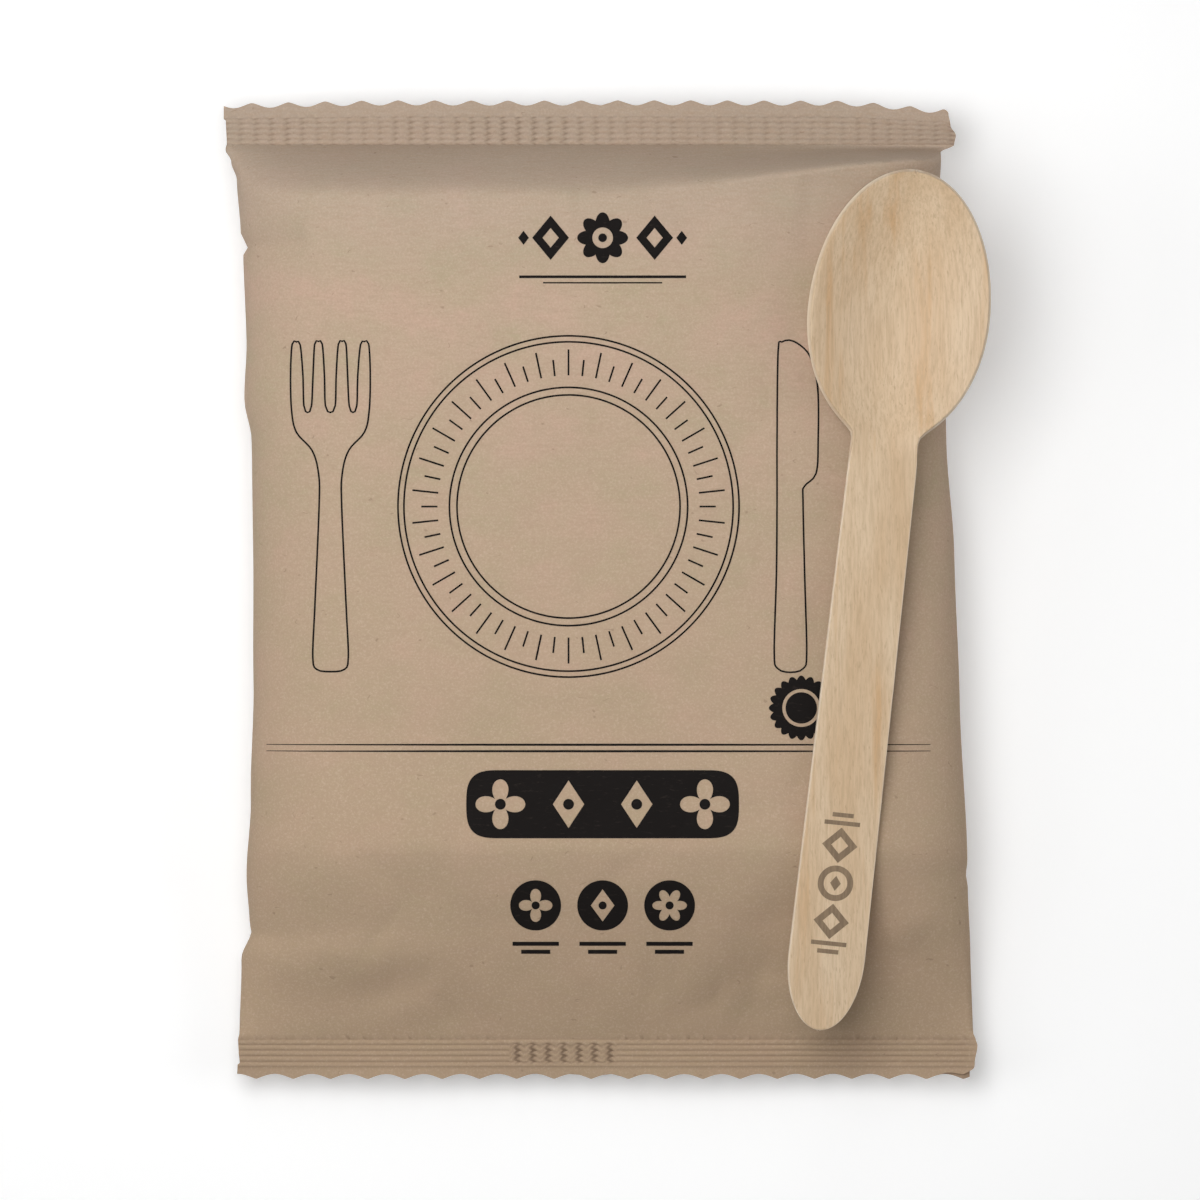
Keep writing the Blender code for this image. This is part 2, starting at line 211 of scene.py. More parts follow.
# the crimping jaws leave columns of small bent dents across the ridges
dents = {
    "pitch": 2.87 * mm,
    "bend": 0.7 * mm,
    "width": 0.36 * mm,
    "depth": 0.22 * mm,
    "topStart": -70.0 * mm,
    "topDeepest": -15 * mm,  # the jaws bit deepest here, and this far to both sides
    "topSpread": 17 * mm,
    "topWeak": 0.5,
    "topUneven": 0.35,
    "fainterFrom": 4 * mm,
    "fainterShare": 0.8,
    "bottomStart": -15.7 * mm,
    "bottomCount": 7,
    "bottomStrength": 2.3,
    "bottomRows": (0.5, 4.6),
    "edgeStrength": 0.5,
}


def bodyShare(y):
    inside = min(pack["topInner"] - y, y - pack["bottomInner"])
    return ease(inside / pack["shoulderLength"])


def tubeSides(y):
    share = clamp((pack["topInner"] - y) / pack["bodyLength"])
    shift = pack["topShift"] + (pack["bottomShift"] - pack["topShift"]) * share
    left = shift - halfWidth + between(leftInsets, share) * mm
    return left, shift + halfWidth - between(rightInsets, share) * mm


def endTrim(y, across):
    # the ragged ends of the seals
    if y > 0:
        share, names = (halfLength - y) / pack["topSeal"], ("topLeft", "topRight")
    else:
        share, names = (y + halfLength) / pack["bottomSeal"], ("bottomLeft", "bottomRight")
    fade = clamp((abs(across) - 0.85) / 0.15) * clamp(1 - (share - 1) * 6)
    return between(sealEnds[names[across > 0]], clamp(share)) * mm * fade


def sealDepth(y):
    # how far out from the tube a place of a seal is
    return (y - pack["topInner"]) if y > 0 else (pack["bottomInner"] - y)


def dentStrength(column, depth, top):
    # how deep the jaws bit at one column, and at this distance from the tube
    row = depth / pack["ridgePitch"]
    if top:
        x = dents["topStart"] + column * dents["pitch"]
        strong = math.exp(-(((x - dents["topDeepest"]) / dents["topSpread"]) ** 2))
        weak = dents["topWeak"] + dents["topUneven"] * noise.noise(Vector((column * 0.37, 5.2, 1.1)))
        return max(strong, weak) * (1.0 if x < dents["fainterFrom"] else dents["fainterShare"])
    if 0 <= column < dents["bottomCount"]:
        first, last = dents["bottomRows"]
        return dents["bottomStrength"] * clamp(row - first) * clamp(last - row)
    return dents["edgeStrength"] * clamp(1.0 - row)


def pressShape(x, y):
    # the jaws' marks at a place of a seal: grooves from 0 to 1, and dents from 0 up
    top = y > 0
    depth = sealDepth(y)
    if not 0 <= depth <= pack["band"]:
        return 0.0, 0.0
    first = dents["topStart"] if top else dents["bottomStart"]
    place = (x - first) / dents["pitch"]
    column = round(place)
    row = depth / pack["ridgePitch"]
    zigzag = (abs((2 * row) % 2 - 1) - 0.5) * dents["bend"]
    strength = dentStrength(column, depth, top)
    across = (place - column) * dents["pitch"] - zigzag
    dent = strength * math.exp(-((across / dents["width"]) ** 2)) * (0.7 + 0.3 * math.cos(2 * math.pi * row))
    # the grooves sway between the dents
    bent = depth + strength * 0.3 * dents["bend"] * math.cos(2 * math.pi * place)
    fromGroove = abs((bent / pack["ridgePitch"] + 0.5) % 1.0 - 0.5) * pack["ridgePitch"]
    groove = math.exp(-((fromGroove / pack["groove"]) ** 2))
    if not top:  # they are shallower at the ends of the lower seal
        groove *= clamp((halfWidth * 1.02 - abs(x)) / (3 * mm) + 0.35)
    return groove, dent


def sealLevel(y, across):
    level = pack["topSealHeight"] if y > 0 else pack["bottomSealHeight"]
    depth = sealDepth(y)
    wave = pack["sealWave"] * math.sin(math.pi * pack["sealWaves"] * across) * clamp(depth / pack["topSeal"])
    if not 0 <= depth <= pack["band"]:
        return level + wave
    groove, dent = pressShape(planX(y, across), y)
    return level + wave + pack["ridgeHeight"] * (1 - groove) - dents["depth"] * dent


def topLevel(y, across):
    fromTop = pack["topInner"] - y
    fromBottom = y - pack["bottomInner"]
    if min(fromTop, fromBottom) <= 0:
        return sealLevel(y, across) + pack["sealThickness"] / 2
    plateau = pack["bodyLength"] - pack["slopeLength"]
    height = pack["thickness"] - pack["thicknessLoss"] * clamp(fromTop / plateau)
    shoulder = pack["shoulderLength"] * (1 - (1 - pack["shoulderRight"]) * ease(across))
    share = clamp(fromTop / shoulder)
    early = 1 - (1 - share) ** pack["shoulderCurve"]
    late = ease(share) ** pack["lateRise"]
    rise = early + (late - early) * (pack["lateShare"] + (1 - pack["lateShare"]) * ease(across))
    start = sealLevel(pack["topInner"], across) + pack["sealThickness"] / 2
    height = start + (height - start) * rise
    fall = clamp(1 - fromBottom / pack["slopeLength"])
    end = sealLevel(pack["bottomInner"], across) + pack["sealThickness"] / 2
    return height + (end - height) * fall ** pack["slopeCurve"]


def underLevel(y, across):
    fromTop = pack["topInner"] - y
    fromBottom = y - pack["bottomInner"]
    if min(fromTop, fromBottom) <= 0:
        return sealLevel(y, across) - pack["sealThickness"] / 2
    topLift = sealLevel(pack["topInner"], across) - pack["sealThickness"] / 2
    topLift *= (1 - clamp(fromTop / pack["topLift"])) ** pack["liftCurve"]
    bottomLift = sealLevel(pack["bottomInner"], across) - pack["sealThickness"] / 2
    bottomLift *= (1 - clamp(fromBottom / pack["bottomLift"])) ** pack["liftCurve"]
    return topLift + bottomLift


def roundSide(across, flat):
    return math.sqrt(1 - clamp(pastShare(abs(across), flat)) ** pack["sidePower"])


def foldLevel(x, y):
    total = 0.0
    for start, end, width, height in folds:
        firstX, firstY = start[0] * halfWidth, start[1] * halfLength
        runX, runY = end[0] * halfWidth - firstX, end[1] * halfLength - firstY
        squared = runX * runX + runY * runY
        along = ((x - firstX) * runX + (y - firstY) * runY) / squared
        if 0 < along < 1:
            distance = ((x - firstX) * runY - (y - firstY) * runX) / math.sqrt(squared)
            if abs(distance) < 3 * width:
                total += height * math.sqrt(math.sin(math.pi * along)) * math.exp(-((distance / width) ** 2))
    return total


def crumpleLevel(x, y, side):
    total = 0.0
    for size, height in zip(crumple["sizes"], crumple["heights"]):
        total += height * noise.noise(Vector((x / size, y / size, side)))
    near = noise.voronoi(Vector((x / crumple["facetSize"], y / crumple["facetSize"], side)))[0]
    return total - crumple["facetHeight"] * (1 - clamp((near[1] - near[0]) / crumple["facetEdge"])) ** 2


def toothWave(x, top):
    first, pitch, rounded = teeth["top" if top else "bottom"]
    return pack["toothDepth"] * abs(math.sin(math.pi * (x - first) / pitch)) ** rounded


def edgeY(y, across):
    top = y > 0
    seal = pack["topSeal"] if top else pack["bottomSeal"]
    near = clamp(1 - (halfLength - abs(y)) / (seal - pack["band"]))
    shifted = abs(y) - toothWave(planX(y, across), top) * near * near
    droop = pack["endDroop"] * ease(pastShare(across, pack["droopStart"]))
    droop += pack["startDroop"] * ease((-0.5 - across) / 0.5)
    droop += pack["cornerCut"] * clamp(pastShare(across, pack["cornerStart"])) ** 2
    if not top:  # the lower right corner is turned under
        shifted -= pack["flapHeight"] * near * clamp(pastShare(across, pack["flapStart"]))
    return math.copysign(shifted, y) - droop * clamp((y - pack["topInner"]) / pack["topSeal"])


def planX(y, across):
    left, right = tubeSides(y)
    return (left + right) / 2 + across * (right - left) / 2 + endTrim(y, across)


def sideLevel(y, across):
    under = underLevel(y, across)
    return under + (topLevel(y, across) - under) * (0.5 + (pack["sideHeight"] - 0.5) * bodyShare(y))


def frontPoint(y, across):
    x = planX(y, across)
    body = bodyShare(y)
    rim = sideLevel(y, across) + pack["sealThickness"] / 2
    detail = (foldLevel(x, y) + crumpleLevel(x, y, crumple["front"])) * body
    rise = max(topLevel(y, across) + detail - rim, 0.0)
    return Vector((x, edgeY(y, across), rim + rise * roundSide(across, pack["topFlat"])))


seam = {
    "width": 12 * mm,
    "step": 0.5 * mm,
    "lift": 0.4 * mm,
    "relief": 9 * mm,
    "thickness": 0.3 * mm,
    "sunk": 0.06 * mm,
    "lowest": 0.02 * mm,
    "columns": 6,
}


def backPoint(y, across):
    x = planX(y, across)
    body = bodyShare(y)
    rim = sideLevel(y, across) - pack["sealThickness"] / 2
    under = underLevel(y, across)
    height = rim - (rim - under) * roundSide(across, pack["underFlat"])
    beside = clamp(1 - (abs(x) - seam["width"] / 2 - seam["step"]) / seam["relief"])
    height += (seam["lift"] * beside + max(crumpleLevel(x, y, crumple["back"]), 0.0) * 0.6) * body
    return Vector((x, edgeY(y, across), height))


def packRows():
    # rows closer together where the paper turns or is pressed
    pitch, shoulderRows = pack["ridgePitch"], pack["shoulderRows"]
    ridges = [pitch * (ridge + step) for ridge in range(pack["ridges"]) for step in pack["ridgeSteps"]]
    ridges.append(pack["band"])
    topMargin = pack["topSeal"] - pack["band"]
    bottomMargin = pack["bottomSeal"] - pack["band"]
    rows = [halfLength - topMargin * share for share in pack["marginSteps"]]
    rows += [pack["topInner"] + offset for offset in reversed(ridges)]
    shoulder = pack["shoulderLength"] * pack["shoulderReach"]
    shares = [(step / shoulderRows) ** pack["rowSpread"] for step in range(1, shoulderRows + 1)]
    rows += [pack["topInner"] - shoulder * share for share in shares]
    slope, slopeRows = pack["slopeLength"], pack["slopeRows"]
    slopeStart = pack["bottomInner"] + slope
    run = (rows[-1] - slopeStart) / pack["plateauRows"]
    rows += [rows[-1] - run * step for step in range(1, pack["plateauRows"] + 1)]
    rows += [slopeStart - slope * step / slopeRows for step in range(1, slopeRows)]
    rows += [pack["bottomInner"] - offset for offset in ridges]
    return rows + [bottomMargin * share - halfLength for share in reversed(pack["marginSteps"])]


def isSeal(y):
    return y > pack["topInner"] - 0.1 * mm or y < pack["bottomInner"] + 0.1 * mm


def faceOutwards(bm):
    bmesh.ops.recalc_face_normals(bm, faces=bm.faces[:])


def secondLayer(bm):
    # extrudes a whole sheet in place and gives the new vertices, to be moved
    extruded = bmesh.ops.extrude_face_region(bm, geom=bm.faces[:] + bm.edges[:] + bm.verts[:])
    return [item for item in extruded["geom"] if isinstance(item, bmesh.types.BMVert)]


def makePaper():
    rows = packRows()
    bm = bmesh.new()
    bmesh.ops.create_grid(bm, x_segments=pack["columns"], y_segments=len(rows) - 1, size=1.0)
    for vertex in bm.verts:  # rows to their places, columns closer towards the sides of the tube
        row = round((1 - vertex.co.y) / 2 * (len(rows) - 1))
        vertex.co.y = rows[row]
        drawn = math.sin(vertex.co.x * math.pi / 2) - vertex.co.x
        vertex.co.x += pack["columnSpread"] * drawn * bodyShare(vertex.co.y)
    bmesh.ops.translate(bm, vec=(0, 0, 1), verts=secondLayer(bm))
    crossEdges = [
        edge for edge in bm.edges
        if min(edge.verts[0].co.z, edge.verts[1].co.z) > 0.5
        and abs(edge.verts[0].co.y - edge.verts[1].co.y) < 1e-7
        and isSeal(edge.verts[0].co.y)
    ]
    bmesh.ops.subdivide_edges(bm, edges=crossEdges, cuts=pack["sealCuts"], use_grid_fill=True)
    pressed = bm.verts.layers.float.new("pressed")
    for vertex in bm.verts:  # the upper sheet becomes the front, the lower one the back
        across, y, front = vertex.co.x, vertex.co.y, vertex.co.z > 0.5
        if front:
            groove, dent = pressShape(planX(y, across), y)
            # painted shade in the grooves and on the seals, and darker paper at the dents
            grooveShade = (pack["pressedTop"] if y > 0 else pack["pressedBottom"]) * groove
            vertex[pressed] = grooveShade + pack["pressedDent"] * dent + (pack["pressedSeal"] if isSeal(y) else 0.0)
        vertex.co = frontPoint(y, across) if front else backPoint(y, across)
    faceOutwards(bm)
    return bm


def addObject(name, data):
    made = bpy.data.objects.new(name, data)
    bpy.context.scene.collection.objects.link(made)
    return made


def addPiece(name, bm, materials, sharpDegrees=50):
    # a finished mesh becomes a named piece that rides on the one body
    mesh = bpy.data.meshes.new(name)
    bm.to_mesh(mesh)
    for material in materials:
        mesh.materials.append(material)
    mesh.shade_smooth()
    mesh.set_sharp_from_angle(angle=math.radians(sharpDegrees))
    piece = addObject(name, mesh)
    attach(piece, "root")
    return piece


# Materials


def newMaterial(name):
    material = bpy.data.materials.new(name)
    material.use_nodes = True
    tree = material.node_tree
    return material, tree, tree.nodes["Principled BSDF"]


def addNode(tree, kind, **settings):
    node = tree.nodes.new(kind)
    for key, value in settings.items():
        setattr(node, key, value)
    return node


def stretched(tree, scale, turn=0.0):
    # object coordinates in metres, turned and stretched
    place = addNode(tree, "ShaderNodeTexCoord")
    mapping = addNode(tree, "ShaderNodeMapping")
    mapping.inputs["Scale"].default_value = scale
    mapping.inputs["Rotation"].default_value = (0, 0, turn)
    tree.links.new(place.outputs["Object"], mapping.inputs["Vector"])
    return mapping.outputs["Vector"]


def noiseOf(tree, vector, scale, detail, roughness=0.55):
    node = addNode(tree, "ShaderNodeTexNoise")
    node.inputs["Scale"].default_value = scale
    node.inputs["Detail"].default_value = detail
    node.inputs["Roughness"].default_value = roughness
    tree.links.new(vector, node.inputs["Vector"])
    return node.outputs["Fac"]


def ramp(tree, value, low, high, start=0.0, end=1.0):
    node = addNode(tree, "ShaderNodeMapRange")
    node.clamp = True
    for name, number in (("From Min", low), ("From Max", high), ("To Min", start), ("To Max", end)):
        node.inputs[name].default_value = number
    tree.links.new(value, node.inputs["Value"])
    return node.outputs["Result"]


def mathOf(tree, operation, first, second=0.0):
    node = addNode(tree, "ShaderNodeMath", operation=operation)
    for index, value in enumerate((first, second)):
        if isinstance(value, (int, float)):
            node.inputs[index].default_value = value
        else:
            tree.links.new(value, node.inputs[index])
    return node.outputs[0]


def mixColor(tree, factor, first, second):
    node = addNode(tree, "ShaderNodeMix", data_type="RGBA")
    for index, value in ((0, factor), (6, first), (7, second)):  # the sockets for colours
        if isinstance(value, tuple):
            node.inputs[index].default_value = (*value, 1.0)
        else:
            tree.links.new(value, node.inputs[index])
    return node.outputs[2]


def bumpOf(tree, surface, height, strength, distance):
    bump = addNode(tree, "ShaderNodeBump")
    bump.inputs["Strength"].default_value = strength
    bump.inputs["Distance"].default_value = distance
    tree.links.new(height, bump.inputs["Height"])
    tree.links.new(bump.outputs["Normal"], surface.inputs["Normal"])


def attributeOf(tree, name):
    return addNode(tree, "ShaderNodeAttribute", attribute_name=name).outputs["Fac"]


def patternsOf(tree, settings, turn=0.0):
    # the noises of a material, by name: stretch, turn, scale, detail and roughness of each
    return {
        name: noiseOf(tree, stretched(tree, stretch, turn + ownTurn), scale, detail, roughness)
        for name, (stretch, ownTurn, scale, detail, roughness) in settings["noises"].items()
    }


def layered(tree, color, patterns, settings):
    # tones laid one over the other: pattern, its low and high, the shares laid on there, and the tone
    for name, low, high, start, end, tone in settings["layers"]:
        color = mixColor(tree, ramp(tree, patterns[name], low, high, start, end), color, settings[tone])
    return color


def finishSurface(tree, surface, color, roughness, specular):
    tree.links.new(color, surface.inputs["Base Color"])
    surface.inputs["Roughness"].default_value = roughness
    surface.inputs["Specular IOR Level"].default_value = specular


def seenRays(tree):
    # 1 for what the camera and reflections see, 0 for light on other things
    path = addNode(tree, "ShaderNodeLightPath")
    seen = mathOf(tree, "MAXIMUM", path.outputs["Is Camera Ray"], path.outputs["Is Glossy Ray"])
    return mathOf(tree, "MAXIMUM", seen, path.outputs["Is Transmission Ray"])


kraft = {
    "tone": (0.524, 0.393, 0.280),
    "rosyTone": (0.575, 0.395, 0.296),
    "oliveTone": (0.470, 0.385, 0.250),
    # darker brown for the lower pack: partly the paper's tone, partly painted shade
    "warmTone": (0.440, 0.310, 0.187),
    "coolTone": (0.484, 0.392, 0.316),
    "darkTone": (0.452, 0.326, 0.228),
    "paleTone": (0.62, 0.475, 0.36),
    "hairTone": (0.25, 0.165, 0.105),
    "pressedTone": (0.16, 0.105, 0.07),
    "roughness": 0.84,
    "specular": 0.22,
    "relief": 0.00007,
    "noises": {
        "clouds": ((0.7, 1, 1), 0.3, 85, 4, 0.6),
        "blots": ((0.8, 1, 1), 1.1, 260, 3, 0.6),
        "fibres": ((0.16, 1, 1), math.radians(1.5), 1900, 5, 0.65),
        "weave": ((0.4, 1, 1), math.radians(-12), 900, 3, 0.6),
        "grain": ((1, 1, 1), 0, 2500, 3, 0.7),
        "curls": ((0.45, 1, 1), math.radians(14), 300, 1, 0.55),
        "places": ((1, 1, 1), 0, 520, 1, 0.55),
        "flecks": ((0.7, 1, 1), 0.8, 780, 1, 0.55),
    },
    "layers": (
        ("clouds", 0.38, 0.62, 0, 1, "rosyTone"),
        ("blots", 0.38, 0.62, 0, 0.65, "tone"),
        ("along", -0.075, 0.05, 0.75, 0, "warmTone"),  # the tone drifts from grey to a darker brown down the pack: partly the paper's tone, partly painted shade on the lower slope
        ("along", 0.055, 0.084, 0.1, 0.85, "coolTone"),
        ("fibres", 0.34, 0.64, 0.42, 0, "darkTone"),
        ("weave", 0.3, 0.48, 0.3, 0, "darkTone"),
        ("grain", 0.5, 0.74, 0, 0.6, "paleTone"),
        ("grain", 0.28, 0.48, 0.5, 0, "darkTone"),
        ("hairs", 0, 1, 0, 0.5, "hairTone"),
        ("flecks", 0.765, 0.8, 0, 0.4, "hairTone"),
        # painted shade on the seals, in their grooves and on the turned corner, and darker paper at the dents
        ("pressed", 0, 1, 0, 0.8, "pressedTone"),
    ),
}


def kraftMaterial():
    material, tree, surface = newMaterial("kraftPaper")
    patterns = patternsOf(tree, kraft)
    along = addNode(tree, "ShaderNodeSeparateXYZ")
    tree.links.new(stretched(tree, (1, 1, 1)), along.inputs["Vector"])
    patterns["along"] = along.outputs["Y"]
    patterns["pressed"] = attributeOf(tree, "pressed")
    # stray fibres: thin level lines of a stretched noise, kept only in a few places
    level = mathOf(tree, "ABSOLUTE", mathOf(tree, "SUBTRACT", patterns["curls"], 0.5))
    line = ramp(tree, level, 0.002, 0.007, 1.0, 0.0)
    patterns["hairs"] = mathOf(tree, "MULTIPLY", line, ramp(tree, patterns["places"], 0.66, 0.70))
    color = layered(tree, kraft["oliveTone"], patterns, kraft)
    finishSurface(tree, surface, color, kraft["roughness"], kraft["specular"])
    height = mathOf(tree, "ADD", patterns["fibres"], mathOf(tree, "MULTIPLY", patterns["grain"], 0.5))
    height = mathOf(tree, "ADD", height, mathOf(tree, "MULTIPLY", patterns["weave"], 0.8))
    bumpOf(tree, surface, height, 0.4, kraft["relief"])
    return material


ink = {
    "tone": (0.0065, 0.0050, 0.0045),
    "wornTone": (0.030, 0.023, 0.019),
    "roughness": 0.7,
    "specular": 0.08,
    "noises": {"wear": ((0.3, 1, 1), 0, 1900, 4, 0.7)},
    "layers": (("wear", 0.58, 0.8, 0, 1, "wornTone"),),
}


def inkMaterial():
    material, tree, surface = newMaterial("blackInk")
    patterns = patternsOf(tree, ink)
    finishSurface(tree, surface, layered(tree, ink["tone"], patterns, ink), ink["roughness"], ink["specular"])
    bumpOf(tree, surface, patterns["wear"], 0.3, 0.00005)
    return material


kraftPaper = kraftMaterial()
blackInk = inkMaterial()
print("paper and ink materials made")

paperMesh = makePaper()
paperTree = BVHTree.FromBMesh(paperMesh)
paper = addPiece("pouchPaper", paperMesh, [kraftPaper], 70)
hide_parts("pouch")
print("paper pack made:", len(paper.data.polygons), "faces")


def makeSeam():
    # the fin seam lies flat under the back, from the top teeth to the bottom ones
    rows = [y for index, y in enumerate(packRows()) if index % 2 == 0 or isSeal(y)]
    bm = bmesh.new()
    bmesh.ops.create_grid(bm, x_segments=seam["columns"], y_segments=len(rows) - 1, size=1.0)
    for vertex in bm.verts:
        y = rows[round((1 - vertex.co.y) / 2 * (len(rows) - 1))]
        x = vertex.co.x * seam["width"] / 2
        left, right = tubeSides(y)
        point = backPoint(y, (x - (left + right) / 2) / ((right - left) / 2))
        vertex.co = Vector((x, point.y, point.z - seam["sunk"]))
    faceOutwards(bm)
    for vertex in secondLayer(bm):
        vertex.co.z = max(vertex.co.z - seam["thickness"], seam["lowest"])
    faceOutwards(bm)
    return bm


addPiece("backSeam", makeSeam(), [kraftPaper])
print("back seam made")

flap = {"reach": 0.995, "overlap": 0.8 * mm, "gap": 0.04 * mm, "thickness": 0.25 * mm, "shade": 0.5}


def makeFlap():
    # the turned corner of the lower seal, a sliver below the front, darkened with painted shade
    bm = bmesh.new()
    bmesh.ops.create_grid(bm, x_segments=14, y_segments=3, size=1.0)
    pressed = bm.verts.layers.float.new("pressed")
    for vertex in bm.verts:
        across = pack["flapStart"] + (flap["reach"] - pack["flapStart"]) * (vertex.co.x + 1) / 2
        upper = edgeY(-halfLength, across) + flap["overlap"] * pastShare(across, pack["flapStart"])
        lower = toothWave(planX(-halfLength, across), False) - halfLength
        share = (vertex.co.y + 1) / 2
        level = underLevel(-halfLength, across) - flap["gap"]
        vertex.co = Vector((planX(-halfLength, across), lower + (upper - lower) * share, level))
        # painted shade: the turned corner is darkened as if it lay in shade
        vertex[pressed] = flap["shade"]
    bmesh.ops.translate(bm, vec=(0, 0, -flap["thickness"]), verts=secondLayer(bm))
    faceOutwards(bm)
    return bm


addPiece("cornerFlap", makeFlap(), [kraftPaper])
print("turned corner made")


# The print: thin films of ink that follow the paper

film = {"lift": 0.045 * mm, "depth": 0.03 * mm, "line": 0.33 * mm, "step": 0.9 * mm}


def paperTop(x, y):
    hit = paperTree.ray_cast(Vector((x, y, packHigh.z * 2)), Vector((0, 0, -1)))[0]
    return hit.z if hit else packHigh.z / 2


def polarShape(bm, centre, inner, outer, steps=72, rings=4):
    # the space between two outlines round a centre, each given as a radius by angle
    start = 0.2
    spoke = [bm.verts.new((start + (1 - start) * ring / rings, 0, 0)) for ring in range(rings + 1)]
    edges = [bm.edges.new(pair) for pair in zip(spoke, spoke[1:])]
    known = set(bm.verts) - set(spoke)
    bmesh.ops.spin(
        bm, geom=spoke + edges, cent=(0, 0, 0), axis=(0, 0, 1), dvec=(0, 0, 0), angle=2 * math.pi,
        steps=steps, use_merge=True, use_normal_flip=False, use_duplicate=False,
    )
    made = [vertex for vertex in bm.verts if vertex not in known]
    for vertex in made:
        angle = math.atan2(vertex.co.y, vertex.co.x)
        share = clamp((vertex.co.xy.length - start) / (1 - start))
        radius = inner(angle) + (outer(angle) - inner(angle)) * share
        vertex.co = Vector((centre[0] + radius * math.cos(angle), centre[1] + radius * math.sin(angle), 0))
    bmesh.ops.remove_doubles(bm, verts=made, dist=0.002 * mm)


def lineShape(bm, points, width=None, closed=False):
    # a ribbon along a path; width may be a function of the share along it
    width = width or film["line"]
    path = [Vector(point).to_2d() for point in points]
    if closed:
        path.append(path[0])
    edge = None
    made = []
    for index, point in enumerate(path):
        ahead = path[min(index + 1, len(path) - 1)] if not closed or index < len(path) - 1 else path[1]
        behind = path[max(index - 1, 0)] if not closed or index > 0 else path[-2]
        side = (ahead - behind).normalized().orthogonal()
        half = (width(index / (len(path) - 1)) if callable(width) else width) / 2
        corners = [Vector((*(point + side * half), 0)), Vector((*(point - side * half), 0))]
        if edge is None:
            pair = [bm.verts.new(corner) for corner in corners]
            edge = bm.edges.new(pair)
            made += pair
        else:
            extruded = bmesh.ops.extrude_edge_only(bm, edges=[edge])["geom"]
            ends = [item for item in extruded if isinstance(item, bmesh.types.BMVert)]
            edge = bm.edges.get(ends)
            ends.sort(key=lambda item: (item.co.xy - previous[0].xy).length)
            for end, corner in zip(ends, corners):
                end.co = corner
            made += ends
        previous = corners
    bmesh.ops.remove_doubles(bm, verts=made, dist=0.002 * mm)


def straight(start, end):
    first, last = Vector(start), Vector(end)
    steps = max(2, math.ceil((last - first).length / film["step"]))
    return [first.lerp(last, step / steps) for step in range(steps + 1)]


def smoothPath(corners):
    # a soft closed curve through a few points
    points = [Vector(corner) for corner in corners]
    count = len(points)
    path = []
    for index in range(count):
        before, here, ahead, beyond = (points[(index + shift) % count] for shift in (-1, 0, 1, 2))
        steps = max(2, math.ceil((ahead - here).length / film["step"]))
        for step in range(steps):
            t = step / steps
            bend = (2 * here) + (ahead - before) * t + (2 * before - 5 * here + 4 * ahead - beyond) * t * t
            path.append((bend + (3 * here - before - 3 * ahead + beyond) * t ** 3) / 2)
    return path


def circlePath(centre, radius):
    steps = math.ceil(2 * math.pi * radius / film["step"])
    turns = [2 * math.pi * step / steps for step in range(steps)]
    return [(centre[0] + radius * math.cos(turn), centre[1] + radius * math.sin(turn)) for turn in turns]


def disc(radius):
    return lambda angle: radius


def diamond(halfAcross, halfUp):
    return lambda angle: 1 / (abs(math.cos(angle)) / halfAcross + abs(math.sin(angle)) / halfUp)


def petals(radius, count, waist):
    return lambda angle: radius * (waist + (1 - waist) * abs(math.cos(count * angle / 2)))


def rectangle(halfAcross, halfUp):
    return lambda angle: 1 / max(abs(math.cos(angle)) / halfAcross, abs(math.sin(angle)) / halfUp)


def barShape(bm, x, y, half, width):
    lineShape(bm, straight((x - half, y), (x + half, y)), width)


def drapeFilm(name, bm):
    for vertex in bm.verts:
        vertex.co.z = paperTop(vertex.co.x, vertex.co.y) - film["depth"]
    for vertex in secondLayer(bm):
        vertex.co.z += film["depth"] + film["lift"]
    faceOutwards(bm)
    return addPiece(name, bm, [blackInk])


# half sizes of lozenges are given as across and up
ornament = {
    "centre": (0.3 * mm, 65.0 * mm),
    "rosette": 4.7 * mm,
    "hole": 1.9 * mm,
    "dot": 0.8 * mm,
    "side": 9.6 * mm,
    "lozenge": (3.4 * mm, 4.1 * mm),
    "lozengeHole": (1.5 * mm, 1.8 * mm),
    "outerSide": 14.6 * mm,
    "outerLozenge": (1.0 * mm, 1.3 * mm),
    "rule": 7.2 * mm,
    "rules": ((0, 15.4 * mm, 0.5 * mm), (1.1 * mm, 11.0 * mm, 0.26 * mm)),  # drop, half length, width
}


def makeOrnament():
    bm = bmesh.new()
    x, y = ornament["centre"]
    polarShape(bm, (x, y), disc(ornament["hole"]), petals(ornament["rosette"], 8, 0.72), 96)
    polarShape(bm, (x, y), disc(0), disc(ornament["dot"]), 36, 2)
    for side in (-1, 1):
        inner, outer = diamond(*ornament["lozengeHole"]), diamond(*ornament["lozenge"])
        polarShape(bm, (x + side * ornament["side"], y), inner, outer)
        outer = diamond(*ornament["outerLozenge"])
        polarShape(bm, (x + side * ornament["outerSide"], y), disc(0), outer, 24, 2)
    for drop, half, width in ornament["rules"]:
        barShape(bm, x, y - ornament["rule"] - drop, half, width)
    return drapeFilm("topOrnamentPrint", bm)


setting = {
    "plate": (-6.0 * mm, 15.4 * mm),
    "circles": (31.5 * mm, 30.4 * mm, 22.0 * mm, 20.6 * mm),
    "rays": 60,
    "rayStart": 24.2 * mm,
    "rayEnds": (27.2 * mm, 29.0 * mm),
    "forkX": -50.0 * mm,
    "knifeX": 35.0 * mm,
    "tall": 61 * mm,
    "middleY": 15.4 * mm,
    "rules": (-28.6 * mm, -29.8 * mm),
    "ruleX": (-62 * mm, 61 * mm),
}
